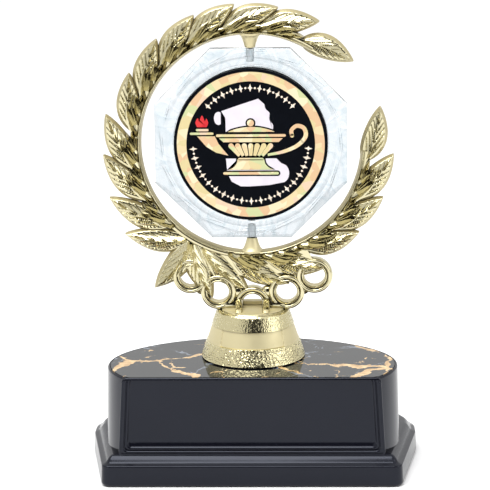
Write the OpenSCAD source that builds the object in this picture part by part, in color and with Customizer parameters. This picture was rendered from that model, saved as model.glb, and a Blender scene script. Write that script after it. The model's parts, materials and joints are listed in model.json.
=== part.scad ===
// Laurel wreath trophy with a clear octagonal spinner that turns on a vertical axis.
// Origin at the centre of the underside, front towards -Y, +Z up, millimetres.

/* [Base] */
// Width of the base at its widest
base_w = 110; // [107:0.2:111]
// Depth of the base
base_d = 58; // [57:0.5:60]
// Height of the base up to the marble
base_h = 36.3; // [34:0.1:37.4]
// Height of the plinth's upright face
plinth_h = 7.4; // [6:0.2:8]
// Height at which the moulding ends and the oval body starts
moulding_top = 10.3; // [9.8:0.1:11]
// Width of the front panel at its top
panel_w = 85; // [83:0.5:87]

/* [Riser] */
// Diameter of the riser's foot
riser_foot_d = 34.8; // [32:0.2:36]
// Diameter of the riser's rim
riser_rim_d = 23.9; // [22.6:0.1:25]
// Height of the riser
riser_h = 16.5; // [15:0.1:17]

/* [Rings] */
// Diameter of the hole in each ring
ring_hole_d = 6.8; // [6.2:0.1:7.2]
// Outer diameter of each ring
ring_d = 12.4; // [12:0.1:12.6]
// Thickness of the rings, front to back
ring_t = 5; // [4:0.1:5.4]

/* [Wreath] */
// Height of the wreath's centre above the table
wreath_z = 109.1; // [108.5:0.1:110]
// Inner radius of the stem
stem_r_in = 36.2; // [36:0.1:36.6]
// Outer radius of the stem
stem_r_out = 39.2; // [38.6:0.1:40]
// Thickness of the wreath, front to back
wreath_t = 5.4; // [5:0.1:6]
// Width of a full leaf
leaf_w = 8.6; // [8:0.1:9.4]

/* [Spinner] */
// Width of the clear octagon across its flats
spinner_w = 63.5; // [62:0.1:64]
// Thickness of the clear octagon at its edge
spinner_edge_t = 4; // [3.6:0.1:4.4]
// Diameter of the disc inserts
insert_d = 50.8; // [50.8:0.1:51]
// Radius of the pivot pins
pin_r = 0.8; // [0.7:0.01:0.82]

/* [Hardware] */
// Radius of the threaded rod
rod_r = 2.4; // [2.2:0.05:2.45]
// Width of the hex nuts across their flats
nut_w = 9.5; // [9:0.1:9.6]

/* [Hidden] */
$fn = 96;

gold = [0.80, 0.73, 0.52];
black = [0.13, 0.13, 0.15];
steel = [0.62, 0.63, 0.65];
eps = 0.1;

// Distance of the riser, wreath and spinner behind the middle of the base
figure_y = 2.5;

// Base plan: straight front, sides that spread towards the back, chamfered rear corners
front_half_w = base_w / 2 - 5.6;
front_corner = 2.2;
widest_y = 8.5;
rear_side_y = 16;
shoulder_half_w = base_w / 2 - 3.5;
shoulder_y = 22.5;
rear_half_w = base_w / 2 - 11;
right_plan = [[front_half_w - front_corner, -base_d / 2],
              [front_half_w + 0.3, -base_d / 2 + front_corner], [base_w / 2, widest_y],
              [base_w / 2 - 0.2, rear_side_y], [shoulder_half_w, shoulder_y],
              [rear_half_w, base_d / 2]];
left_plan = [for (i = [len(right_plan) - 1:-1:0]) [-right_plan[i][0], right_plan[i][1]]];
plan = concat(right_plan, left_plan);
// Plan with plain front corners, for the space inside
core_plan = [for (i = [1:len(plan) - 2])
    i == 1 || i == len(plan) - 2 ? [sign(plan[i][0]) * front_half_w, -base_d / 2] : plan[i]];

// Oval body standing on the moulding, cut flat at the front by the panel
oval_a = 48.2;
oval_b = 32.5;
oval_y = -8;
oval_draft = 0.6;
panel_y = -24.5;
panel_draft = 0.7;
panel_foot_spread = 1.5;
panel_t = 3;
panel_corner_r = 1.5;
body_h = base_h - moulding_top;

// Panel border: two thin lines, then a shallow recess
border_line_in = [1.1, 2.1];
border_line_w = 0.35;
recess_in = 2.9;
recess_foot = 4;
recess_depth = 0.6;
border_reach = 5;
border_cut = 9;

marble_t = 1;
rim_w = 0.8;
wall = 2.4;
felt_t = 1;
felt_inset = 3;
core_inset = 5.5;
core_roof = 2;
seat_gap = 0.1;

// Fixing stack, from the table up
pocket_r = 9;
pocket_top = 10;
washer_t = 1;
flat_washer_r = 6.4;
spring_washer_r = 4.5;
split_w = 0.8;
split_angle = 40;
nut_t = 3.2;
rod_foot = 3;
rod_top = base_h + 9.5;
captive_nut_z = base_h + 5;
thread_gap = 0.02;
base_rod_gap = 0.3;
rod_gap = 0.2;
spring_gap = 0.1;
rod_end_gap = 2.1;

// Riser
rim_z = base_h + riser_h;
foot_round = 0.8;
riser_wall = 1.7;
riser_rim_t = 1.2;
cup_depth = 3.4;
cup_floor = rim_z - cup_depth;
ledge_t = 2;
boss_r = 7;
boss_foot = base_h + 3;
foot_disc_r = riser_rim_d / 2 - riser_rim_t - 0.2;
rim_seat_in = 0.2;
rim_seat_out = 0.3;

// Rings: centre x and z of each
rings = [[-20.7, 64], [-11.4, 58.5], [0, 54.3], [11.4, 58.5], [20.7, 64]];
ring_set_back = 0.6;
// Steps inside the middle arch: front face and depth from the figure's plane, height above the rim
arch_steps = [[-1.5, 2.3, 0.5], [0.8, 2.3, 1.9]];
// Web between the rings and the stem: angles about the wreath's centre, width and thickness
web_start = 243;
web_sweep = 54;
web_w = 9;
web_t = 2.4;

// Leaves: angle and radius of each tip about the wreath's centre, from the branch origin upwards
branch_origin = 238;
left_tips = [[236.4, 59.2], [215.6, 52.3], [200.7, 50.7], [184, 49.2], [168, 49], [149, 46.5],
             [131, 46.6], [113, 46.6], [96, 46.6], [78, 46.2], [60.3, 46.6], [38.5, 43.5]];
right_tips = [[255.9, 54.5], [268.7, 50.1], [284.6, 49.6], [301.3, 49.2], [320.1, 46.9],
              [337.5, 47.4], [355.6, 47.3], [376.2, 44.4]];
leaf_sweep = 26;
leaf_base_r = 37.6;
leaflet_sweep = 17;
leaflet_back = 4;
leaflet_rise = 1.6;
leaflet_w = 3.4;
// Leaf sections: place along the leaf, half-width and thickness, as shares of the whole leaf
leaf_blade = [[0.04, 0.16, 1], [0.28, 0.46, 1], [0.5, 0.5, 1], [0.72, 0.36, 1]];
leaf_point = [[0.66, 0.38, 1], [0.98, 0.05, 0.6]];
slice_shoulder = 0.34;
slice_edge = 0.86;
slice_t = 0.02;
end_leaf_share = 0.93;
stem_end = 60;
stem_start = -6;

// Pivots and spinner
cone_foot_r = 3.1;
cone_tip_r = 1.7;
cone_sink = 1.2;
shoulder_gap = 0.33;
pin_l = 4.1;
socket_depth = 4.5;
pin_gap = 0.08;
insert_t = 0.8;
insert_wall_r = 28;
spinner_mid_t = 6;
insert_gap = 0.1;
spinner_edge_in = 0.4;

// Unit inward normal of the edge that starts at point i of an anticlockwise outline
function edge_in(pts, i) =
    let (a = pts[i], b = pts[(i + 1) % len(pts)], run = b - a)
    [-run[1], run[0]] / norm(run);

// Outline with every edge moved inwards by d
function inset(pts, d) =
    [for (i = [0:len(pts) - 1])
        let (n1 = edge_in(pts, (i + len(pts) - 1) % len(pts)), n2 = edge_in(pts, i))
        pts[i] + d * (n1 + n2) / (1 + n1 * n2)];

// Oval outline grown by d and cut flat at y = front
function oval_outline(d, front) =
    [for (t = [2.5:5:360]) [(oval_a + d) * cos(t), max(oval_y + (oval_b + d) * sin(t), front)]];

// Point at an angle and a radius about the wreath's centre
function polar(angle, r) = [r * cos(angle), r * sin(angle)];

// Solid through stacked outlines that all have the same number of points
module loft(outlines, heights) {
    n = len(outlines[0]);
    top = (len(outlines) - 1) * n;
    points = [for (k = [0:len(outlines) - 1]) for (p = outlines[k]) [p[0], p[1], heights[k]]];
    sides = [for (k = [0:len(outlines) - 2]) for (i = [0:n - 1])
        let (j = (i + 1) % n)
        [k * n + i, (k + 1) * n + i, (k + 1) * n + j, k * n + j]];
    foot = [[for (i = [0:n - 1]) i]];
    lid = [[for (i = [0:n - 1]) top + n - 1 - i]];
    polyhedron(points = points, faces = concat(sides, foot, lid));
}

// Plinth and its moulding: [inset, height] up the edge
module plinth() {
    profile = [[1.4, 0], [0.4, 0.6], [0, 1.8], [0.3, plinth_h - 0.2], [0.5, plinth_h],
               [1.4, plinth_h + 0.6], [2.1, plinth_h + 1.1], [2.5, plinth_h + 2],
               [3.3, plinth_h + 2.6], [4.3, moulding_top]];
    loft([for (p = profile) inset(plan, p[0])], [for (p = profile) p[1]]);
}

module oval_body() {
    loft([oval_outline(oval_draft, panel_y - eps), oval_outline(0, panel_y + eps)],
         [moulding_top - 1, base_h]);
}

// Flat panel slab on the front of the oval
module panel_slab() {
    foot_w = panel_w + 2 * panel_foot_spread;
    hull() {
        translate([-foot_w / 2, panel_y - panel_draft, moulding_top - 1])
            cube([foot_w, panel_t + panel_draft, eps]);
        for (side = [-1, 1])
            translate([side * (panel_w / 2 - panel_corner_r), panel_y, base_h - panel_corner_r])
                rotate([-90, 0, 0]) cylinder(r = panel_corner_r, h = panel_t, $fn = 32);
    }
}

// Upright U-shaped line of the panel border, d in from the slab's edge
module border_line(d) {
    foot_w = panel_w + panel_foot_spread - 2 * d;
    difference() {
        border_plate(foot_w, moulding_top + d, recess_depth);
        border_plate(foot_w - 2 * border_line_w, moulding_top + d + border_line_w, border_cut);
    }
}

// Upright plate across the front of the panel, cut to a depth
module border_plate(w, z, depth) {
    translate([-w / 2, panel_y - panel_draft - border_reach, z])
        cube([w, border_reach + depth + panel_draft / 2, base_h]);
}

// Space that the weight fills
module cavity(gap) {
    translate([0, 0, felt_t])
        linear_extrude(moulding_top - felt_t - core_roof - gap)
            polygon(inset(core_plan, core_inset + gap));
    translate([0, 0, felt_t])
        linear_extrude(base_h - marble_t - wall - felt_t - gap)
            polygon(oval_outline(-wall - gap, panel_y + panel_t + gap));
}

module rod_hole(r) {
    translate([0, figure_y, 0]) cylinder(r = r, h = base_h + 1);
}

module base_shell() {
    color(black) difference() {
        union() {
            plinth();
            oval_body();
            panel_slab();
        }
        cavity(0);
        translate([0, 0, -eps]) linear_extrude(felt_t + eps)
            polygon(inset(plan, felt_inset));
        translate([0, 0, base_h - marble_t])
            linear_extrude(marble_t + 1) polygon(oval_outline(-rim_w, panel_y + rim_w));
        for (d = border_line_in) border_line(d);
        border_plate(panel_w - 2 * recess_in, moulding_top + recess_foot, recess_depth);
        rod_hole(rod_r + base_rod_gap);
    }
}

module marble_top() {
    color([0.30, 0.29, 0.28]) difference() {
        translate([0, 0, base_h - marble_t])
            linear_extrude(marble_t)
                polygon(oval_outline(-rim_w - seat_gap, panel_y + rim_w + seat_gap));
        rod_hole(rod_r + base_rod_gap);
    }
}

module base_weight() {
    color([0.78, 0.76, 0.72]) difference() {
        cavity(seat_gap);
        rod_hole(rod_r + rod_gap);
        translate([0, figure_y, 0]) cylinder(r = pocket_r, h = pocket_top);
    }
}

module felt_pad() {
    color([0.10, 0.16, 0.12])
        linear_extrude(felt_t - seat_gap) polygon(inset(plan, felt_inset + seat_gap));
}

module threaded_rod() {
    color(steel) translate([0, figure_y, rod_foot]) cylinder(r = rod_r, h = rod_top - rod_foot);
}

module ring_plate(r, hole_r, t) {
    difference() {
        cylinder(r = r, h = t);
        translate([0, 0, -1]) cylinder(r = hole_r, h = t + 2);
    }
}

module flat_washer() {
    color(steel) translate([0, figure_y, pocket_top - washer_t])
        ring_plate(flat_washer_r, rod_r + rod_gap, washer_t);
}

// Split lock washer
module spring_washer() {
    color(steel) translate([0, figure_y, pocket_top - 2 * washer_t]) difference() {
        ring_plate(spring_washer_r, rod_r + spring_gap, washer_t);
        rotate([0, 0, split_angle]) translate([0, -split_w / 2, -1])
            cube([spring_washer_r + 1, split_w, washer_t + 2]);
    }
}

module nut() {
    corner_r = nut_w / 2 / cos(30);
    difference() {
        cylinder(r = corner_r, h = nut_t, $fn = 6);
        translate([0, 0, -1]) cylinder(r = rod_r + thread_gap, h = nut_t + 2);
    }
}

module hex_nut() {
    color(steel) translate([0, figure_y, pocket_top - 2 * washer_t - nut_t]) nut();
}

module captive_nut() {
    color(steel) translate([0, figure_y, captive_nut_z]) nut();
}

// Hollow cone with a cup at its top for the foot of the ring row
module riser() {
    foot_r = riser_foot_d / 2;
    rim_r = riser_rim_d / 2;
    cup_r = rim_r - riser_rim_t;
    cup_z = riser_h - cup_depth;
    ledge_z = cup_z - ledge_t;
    color(gold) translate([0, figure_y, base_h]) rotate_extrude()
        polygon([[foot_r - riser_wall, 0], [foot_r - foot_round, 0], [foot_r, foot_round],
                 [rim_r, riser_h - 0.6], [rim_r - 0.6, riser_h], [cup_r, riser_h],
                 [cup_r, cup_z], [boss_r + seat_gap, cup_z], [boss_r + seat_gap, ledge_z],
                 [cup_r, ledge_z]]);
}

// Five rings on the figure's foot, with the boss that holds the captive nut
module ring_row() {
    hex_r = nut_w / 2 / cos(30) + seat_gap;
    color(gold) difference() {
        union() {
            for (ring = rings) across(ring[0], ring[1], ring_d / 2, ring_t);
            ring_foot();
            ring_web();
        }
        for (ring = rings) across(ring[0], ring[1], ring_hole_d / 2, 3 * ring_t);
        rim_seat();
        translate([0, figure_y, boss_foot - 1]) {
            cylinder(r = rod_r + rod_gap, h = rod_top + rod_end_gap - boss_foot + 1);
            cylinder(r = hex_r, h = captive_nut_z + nut_t - boss_foot + 1, $fn = 6);
        }
    }
}

// Cut that lets the rings stand on the riser's rim
module rim_seat() {
    translate([0, figure_y, rim_z - 1])
        ring_plate(riser_rim_d / 2 + rim_seat_out, foot_disc_r - rim_seat_in, 1 + seat_gap);
}

// Cylinder through the figure from front to back at x and z
module across(x, z, r, t) {
    translate([x, figure_y + ring_set_back + t / 2, z]) rotate([90, 0, 0]) cylinder(r = r, h = t);
}

// Disc and boss in the riser's cup, with the arch's legs and two steps inside the arch
module ring_foot() {
    leg_h = rings[2][1] - cup_floor;
    difference() {
        union() {
            translate([0, figure_y, cup_floor])
                cylinder(r = foot_disc_r, h = rim_z - cup_floor);
            translate([-ring_d / 2, figure_y + ring_set_back - ring_t / 2, cup_floor])
                cube([ring_d, ring_t, leg_h]);
        }
        translate([-ring_hole_d / 2, figure_y - ring_t, rim_z])
            cube([ring_hole_d, 2 * ring_t, leg_h]);
    }
    for (step = arch_steps)
        translate([-ring_hole_d / 2 - eps, figure_y + step[0], cup_floor])
            cube([ring_hole_d + 2 * eps, step[1], rim_z + step[2] - cup_floor]);
    translate([0, figure_y, boss_foot]) cylinder(r = boss_r, h = cup_floor + 1 - boss_foot);
}

// Thin web that joins the rings to the stem
module ring_web() {
    at_wreath() rotate([90, 0, 0]) rotate([0, 0, web_start])
        rotate_extrude(angle = web_sweep)
            translate([stem_r_out - 1, -web_t / 2]) square([web_w, web_t]);
}

// Moves to the wreath's centre
module at_wreath() {
    translate([0, figure_y, wreath_z]) children();
}

// Stem in the wreath's plane, with a parting edge at mid-thickness
module wreath_stem() {
    side = 0.5;
    half_t = wreath_t / 2 - 0.2;
    color(gold) at_wreath() rotate([90, 0, 0]) rotate([0, 0, stem_end])
        rotate_extrude(angle = 360 + stem_start - stem_end)
            polygon([[stem_r_in, 0], [stem_r_in + side, -half_t], [stem_r_out - side, -half_t],
                     [stem_r_out, 0], [stem_r_out - side, half_t], [stem_r_in + side, half_t]]);
}

// Leaf lying along +X from its base, with a raised midrib on both faces
module leaf(l, w, t) {
    hull() for (s = leaf_blade) leaf_slice(s[0] * l, s[1] * w, s[2] * t);
    hull() for (s = leaf_point) leaf_slice(s[0] * l, s[1] * w, s[2] * t);
}

// Cross-section of a leaf at x: half-width hw at mid-thickness, crest on the midrib
module leaf_slice(x, hw, t) {
    edge = slice_edge * hw;
    shoulder = slice_shoulder * t;
    translate([x, 0, 0]) rotate([90, 0, 90])
        linear_extrude(slice_t * t, center = true)
            polygon([[-hw, 0], [-edge, -shoulder], [0, -t / 2], [edge, -shoulder],
                     [hw, 0], [edge, shoulder], [0, t / 2], [-edge, shoulder]]);
}

// Leaf from one point of the wreath's plane to another
module leaf_between(from, to, w) {
    run = to - from;
    at_wreath() translate([from[0], 0, from[1]]) rotate([90, 0, 0])
        rotate([0, 0, atan2(run[1], run[0])]) leaf(norm(run), w, wreath_t);
}

// Leaves of one branch, and a smaller leaflet against the stem beside each; turn is +1 where
// the branch climbs anticlockwise
module branch(tips, turn) {
    for (i = [0:len(tips) - 1]) {
        tip = tips[i];
        swept = tip[0] - turn * leaf_sweep;
        start = turn > 0 ? max(swept, branch_origin) : min(swept, branch_origin);
        size = i == len(tips) - 1 ? end_leaf_share : 1;
        leaf_between(polar(start, leaf_base_r), polar(tip[0], tip[1]), size * leaf_w);
        if (i > 1) {
            foot = start - turn * leaflet_back;
            leaf_between(polar(foot, leaf_base_r),
                         polar(foot + turn * leaflet_sweep, leaf_base_r + leaflet_rise), leaflet_w);
        }
    }
}

module left_branch() {
    color(gold) branch(left_tips, -1);
}

module right_branch() {
    color(gold) branch(right_tips, 1);
}

// Cone on the stem with a pin that stands in the spinner's socket, for the lower end
module pivot() {
    stem_z = -stem_r_in - cone_sink;
    shoulder_z = -spinner_w / 2 - shoulder_gap;
    color(gold) {
        translate([0, 0, stem_z])
            cylinder(r1 = cone_foot_r, r2 = cone_tip_r, h = shoulder_z - stem_z);
        translate([0, 0, shoulder_z - eps]) cylinder(r = pin_r, h = pin_l + eps);
    }
}

module lower_pivot() {
    at_wreath() pivot();
}

module upper_pivot() {
    at_wreath() rotate([180, 0, 0]) pivot();
}

// Clear octagon, thicker in the middle, with a seat on each face and a socket at each end
module spinner_body() {
    corner_r = spinner_w / 2 / cos(22.5);
    edge_r = spinner_w / 2 - spinner_edge_in;
    color([0.90, 0.94, 0.96, 0.4]) at_wreath() difference() {
        rotate([90, 0, 0]) union() {
            rotate([0, 0, 22.5])
                cylinder(r = corner_r, h = spinner_edge_t, center = true, $fn = 8);
            rotate_extrude()
                polygon([[0, -spinner_mid_t / 2], [insert_wall_r, -spinner_mid_t / 2],
                         [edge_r, -spinner_edge_t / 2 + eps], [edge_r, spinner_edge_t / 2 - eps],
                         [insert_wall_r, spinner_mid_t / 2], [0, spinner_mid_t / 2]]);
        }
        for (side = [-1, 1]) {
            translate([0, side * (spinner_mid_t / 2 - insert_t + 1), 0]) rotate([90, 0, 0])
                cylinder(r = insert_d / 2 + insert_gap, h = 2, center = true);
            translate([0, 0, side * (spinner_w / 2 + 1 - (socket_depth + 1) / 2)])
                cylinder(r = pin_r + pin_gap, h = socket_depth + 1, center = true);
        }
    }
}

// Disc insert in the seat on one face; side is -1 for the front
module insert(side) {
    color([0.85, 0.74, 0.55]) at_wreath()
        translate([0, side * (spinner_mid_t / 2 - insert_t / 2), 0])
            rotate([90, 0, 0]) cylinder(r = insert_d / 2, h = insert_t, center = true);
}

module front_insert() {
    insert(-1);
}

module back_insert() {
    insert(1);
}

base_shell();
marble_top();
base_weight();
felt_pad();
threaded_rod();
flat_washer();
spring_washer();
hex_nut();
riser();
captive_nut();
ring_row();
wreath_stem();
left_branch();
right_branch();
upper_pivot();
lower_pivot();
spinner_body();
front_insert();
back_insert();
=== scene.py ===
"""Looks of the laurel wreath spinner trophy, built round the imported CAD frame.

Helper shapes are written in millimetres in the CAD frame and turned into metres by make_piece.
"""
import json
import math

import bpy
import bmesh
import numpy as np
from mathutils import Matrix, Vector


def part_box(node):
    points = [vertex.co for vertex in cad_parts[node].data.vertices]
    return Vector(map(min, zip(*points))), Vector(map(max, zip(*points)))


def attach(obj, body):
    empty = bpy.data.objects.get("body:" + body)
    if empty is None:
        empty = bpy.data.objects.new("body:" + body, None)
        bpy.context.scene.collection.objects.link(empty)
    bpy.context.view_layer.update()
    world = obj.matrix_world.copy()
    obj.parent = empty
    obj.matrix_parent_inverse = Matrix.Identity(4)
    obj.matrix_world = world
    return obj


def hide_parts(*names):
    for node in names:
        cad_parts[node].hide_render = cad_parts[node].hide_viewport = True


MM = 0.001
TROPHY = "trophy"
SPINNER = "spinner"

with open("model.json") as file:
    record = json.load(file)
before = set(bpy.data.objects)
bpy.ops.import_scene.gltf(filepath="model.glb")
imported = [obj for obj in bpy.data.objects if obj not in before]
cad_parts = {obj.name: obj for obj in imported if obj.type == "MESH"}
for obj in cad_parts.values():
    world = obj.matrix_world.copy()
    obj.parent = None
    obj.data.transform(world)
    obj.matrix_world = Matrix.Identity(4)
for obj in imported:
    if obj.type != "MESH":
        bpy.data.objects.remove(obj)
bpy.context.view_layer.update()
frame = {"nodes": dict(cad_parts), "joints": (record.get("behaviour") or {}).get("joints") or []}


def node_box(node):
    """Lowest and highest corner of a CAD node, in millimetres."""
    low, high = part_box(node)
    return np.array(low) / MM, np.array(high) / MM


# Places and sizes taken from the frame, in millimetres
FIGURE_Y = frame["joints"][0]["pos_m"][1] / MM
WREATH_Z = frame["joints"][0]["pos_m"][2] / MM
WREATH = np.array([0, FIGURE_Y, WREATH_Z])
BASE_LOW, BASE_HIGH = node_box("base_shell")
BASE_TOP = BASE_HIGH[2]
RISER_LOW, RISER_HIGH = node_box("riser")
INSERT_LOW, INSERT_HIGH = node_box("front_insert")
INSERT_R = (INSERT_HIGH[0] - INSERT_LOW[0]) / 2
INSERT_FACE = FIGURE_Y - INSERT_LOW[1]
RISER_RIM_R = 11.95
SPINNER_HALF = node_box("spinner_body")[1][0]


# ---- mesh helpers

def make_piece(name, verts, faces, body, material, sharp=35, replaces=(), at=(0, 0, 0)):
    """Mesh piece from millimetre points; edges sharper than the angle stay crisp."""
    mesh = bpy.data.meshes.new(name)
    points = (np.asarray(verts, float) + at) * MM
    mesh.from_pydata(points.tolist(), [], [list(map(int, f)) for f in faces])
    build = bmesh.new()
    build.from_mesh(mesh)
    bmesh.ops.remove_doubles(build, verts=build.verts, dist=2e-6)
    bmesh.ops.dissolve_degenerate(build, edges=build.edges, dist=1e-7)
    bmesh.ops.recalc_face_normals(build, faces=build.faces)
    build.to_mesh(mesh)
    build.free()
    mesh.polygons.foreach_set("use_smooth", [True] * len(mesh.polygons))
    mesh.set_sharp_from_angle(angle=math.radians(sharp))
    mesh.materials.append(material)
    piece = bpy.data.objects.new(name, mesh)
    bpy.context.scene.collection.objects.link(piece)
    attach(piece, body)
    if replaces:
        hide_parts(*replaces)
    return piece


def second_material(piece, material, chosen):
    """Gives a second material to the faces that the test picks."""
    piece.data.materials.append(material)
    for face in piece.data.polygons:
        if chosen(face):
            face.material_index = 1


class Shape:
    """Points and faces gathered from several closed forms."""

    def __init__(self):
        self.verts = []
        self.faces = []

    def add(self, verts, faces):
        start = len(self.verts)
        self.verts.extend(np.asarray(verts, float).tolist())
        self.faces.extend([[start + i for i in f] for f in faces])


def loft_faces(rings, count, closed=True, caps=True):
    """Faces of stacked outlines that have the same number of points."""
    faces = []
    steps = count if closed else count - 1
    for k in range(rings - 1):
        for i in range(steps):
            j = (i + 1) % count
            faces.append([k * count + i, k * count + j, (k + 1) * count + j, (k + 1) * count + i])
    if caps:
        faces.append(list(range(count))[::-1])
        faces.append([(rings - 1) * count + i for i in range(count)])
    return faces


def loft(outlines):
    """Closed solid through stacked outlines of [x, y, z] points."""
    return np.concatenate(outlines), loft_faces(len(outlines), len(outlines[0]))


def revolve(profile, steps, axis="z", angle=(0, 360)):
    """Surface of a closed (radius, along) profile turned about an axis; about Y, angles run in XZ."""
    turns = angle[1] - angle[0]
    full = abs(turns - 360) < 1e-6
    count = steps if full else steps + 1
    profile = np.asarray(profile, float)
    rings = []
    for k in range(count):
        a = math.radians(angle[0] + turns * k / steps)
        flat = np.zeros((len(profile), 3))
        flat[:, 0] = profile[:, 0] * math.cos(a)
        if axis == "z":
            flat[:, 1] = profile[:, 0] * math.sin(a)
            flat[:, 2] = profile[:, 1]
        else:
            flat[:, 2] = profile[:, 0] * math.sin(a)
            flat[:, 1] = profile[:, 1]
        rings.append(flat)
    n = len(profile)
    faces = loft_faces(count, n, closed=True, caps=not full)
    if full:
        for i in range(n):
            j = (i + 1) % n
            faces.append([(count - 1) * n + i, (count - 1) * n + j, j, i])
    return np.concatenate(rings), faces


def rounded(points, radii, steps=5):
    """Anticlockwise outline with each corner turned into an arc of the same number of points."""
    points = [np.asarray(p, float) for p in points]
    out = []
    for i, (corner, radius) in enumerate(zip(points, radii)):
        before = points[i - 1] - corner
        after = points[(i + 1) % len(points)] - corner
        before /= np.linalg.norm(before)
        after /= np.linalg.norm(after)
        half = math.acos(np.clip(before @ after, -1, 1)) / 2
        middle = (before + after) / np.linalg.norm(before + after)
        centre = corner + middle * radius / math.sin(half)
        first = corner + before * radius / math.tan(half) - centre
        last = corner + after * radius / math.tan(half) - centre
        a0 = math.atan2(first[1], first[0])
        turn = (math.atan2(last[1], last[0]) - a0 + math.pi) % (2 * math.pi) - math.pi
        for k in range(steps + 1):
            a = a0 + turn * k / steps
            out.append([centre[0] + radius * math.cos(a), centre[1] + radius * math.sin(a)])
    return out


def corner_normals(points):
    """Each point of an outline with the left-hand unit normals of its two edges."""
    points = np.asarray(points, float)
    edges = np.roll(points, -1, 0) - points
    normals = np.stack([-edges[:, 1], edges[:, 0]], 1) / np.linalg.norm(edges, axis=1)[:, None]
    return zip(points, np.roll(normals, 1, 0), normals)


def inset(points, distance):
    """Anticlockwise outline with every edge moved inwards."""
    return [p + distance * (n1 + n2) / (1 + n1 @ n2) for p, n1, n2 in corner_normals(points)]


def at_height(outline, z):
    return [[x, y, z] for x, y in outline]


# ---- materials

class Nodes:
    """Small wrapper that makes and links the nodes of a material or a world."""

    def __init__(self, owner, shader="Principled BSDF"):
        owner.use_nodes = True
        self.material = owner
        self.tree = owner.node_tree
        self.shader = self.tree.nodes[shader]

    def node(self, kind, **values):
        made = self.tree.nodes.new(kind)
        for key, value in values.items():
            if hasattr(made, key):
                setattr(made, key, value)
            else:
                made.inputs[key.replace("_", " ")].default_value = value
        return made

    def link(self, source, target):
        self.tree.links.new(source, target)

    def set(self, **values):
        for key, value in values.items():
            self.shader.inputs[key.replace("_", " ")].default_value = value

    def place(self):
        """Object coordinates, in metres."""
        return self.node("ShaderNodeTexCoord").outputs["Object"]

    def noise(self, where, scale, detail=3.0, rough=0.5, distortion=0.0):
        made = self.node("ShaderNodeTexNoise", Scale=scale, Detail=detail, Roughness=rough,
                         Distortion=distortion)
        self.link(where, made.inputs["Vector"])
        return made.outputs["Fac"]

    def ramp(self, factor, stops, interpolation="LINEAR"):
        made = self.node("ShaderNodeValToRGB")
        made.color_ramp.interpolation = interpolation
        elements = made.color_ramp.elements
        while len(elements) < len(stops):
            elements.new(0.5)
        for element, (position, colour) in zip(elements, stops):
            element.position = position
            element.color = (*colour, 1.0) if len(colour) == 3 else colour
        self.link(factor, made.inputs["Fac"])
        return made.outputs["Color"]

    def grey_ramp(self, factor, stops):
        return self.ramp(factor, [(p, (v, v, v)) for p, v in stops])

    def mix(self, factor, first, second, blend="MIX"):
        made = self.node("ShaderNodeMix", data_type="RGBA", blend_type=blend)
        for socket, value in ((made.inputs[0], factor), (made.inputs[6], first),
                              (made.inputs[7], second)):
            if isinstance(value, (int, float)):
                socket.default_value = value
            elif isinstance(value, tuple):
                socket.default_value = (*value, 1.0)
            else:
                self.link(value, socket)
        return made.outputs[2]

    def maths(self, operation, *values):
        made = self.node("ShaderNodeMath", operation=operation)
        for socket, value in zip(made.inputs, values):
            if isinstance(value, (int, float)):
                socket.default_value = value
            else:
                self.link(value, socket)
        return made.outputs[0]

    def span(self, value, low, high, top=1.0):
        """Value stretched from low to high onto 0 to top."""
        made = self.node("ShaderNodeMapRange")
        made.inputs["From Min"].default_value = low
        made.inputs["From Max"].default_value = high
        made.inputs["To Max"].default_value = top
        self.link(value, made.inputs["Value"])
        return made.outputs[0]

    def mottle(self, factor, low, high):
        self.colour(self.ramp(factor, [(0.3, low), (0.7, high)]))

    def colour(self, value):
        self.link(value, self.shader.inputs["Base Color"])

    def roughness(self, factor, stops):
        self.link(self.grey_ramp(factor, stops), self.shader.inputs["Roughness"])

    def bump(self, height, strength, distance):
        made = self.node("ShaderNodeBump", Strength=strength, Distance=distance)
        self.link(height, made.inputs["Height"])
        self.link(made.outputs["Normal"], self.shader.inputs["Normal"])


def new_material(name):
    return Nodes(bpy.data.materials.new(name))


def gold_material(name, low, high, rough_low, rough_high, metallic=1.0, grain=0.0):
    """Metallised pale gold plastic, with painted shade darkening the hollows of the relief."""
    made = new_material(name)
    where = made.place()
    cloud = made.noise(where, 90.0, 4.0)
    tint = made.ramp(cloud, [(0.3, low), (0.7, high)])
    # painted shade: ambient occlusion mixes the hollows of the relief towards a near-black olive,
    # standing in for shade and dark reflections
    painted_shade_ao = made.node("ShaderNodeAmbientOcclusion", samples=8, Distance=0.0008)
    depth = made.grey_ramp(painted_shade_ao.outputs["AO"], [(0.27, 0.0), (0.62, 1.0)])
    made.colour(made.mix(depth, (0.030, 0.024, 0.011), tint))
    made.roughness(made.noise(where, 420.0, 3.0), [(0.3, rough_low), (0.75, rough_high)])
    made.set(Metallic=metallic)
    if grain > 0:
        made.bump(made.noise(where, 2600.0, 2.0), grain, 0.0001)
    return made.material


def black_plastic():
    """Satin black moulding with a faint flow texture and fine dust."""
    made = new_material("black_moulding")
    where = made.place()
    flow = made.noise(where, 35.0, 4.0, distortion=0.6)
    made.colour(made.ramp(flow, [(0.3, (0.0028, 0.0030, 0.0058)), (0.75, (0.0040, 0.0043, 0.0078))]))
    made.roughness(made.noise(where, 700.0, 3.0), [(0.3, 0.16), (0.8, 0.21)])
    made.set(IOR=1.5, Specular_IOR_Level=0.3, Specular_Tint=(0.80, 0.85, 1.0, 1.0))
    made.bump(made.noise(where, 3200.0, 2.0), 0.05, 0.00006)
    return made.material


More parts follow.
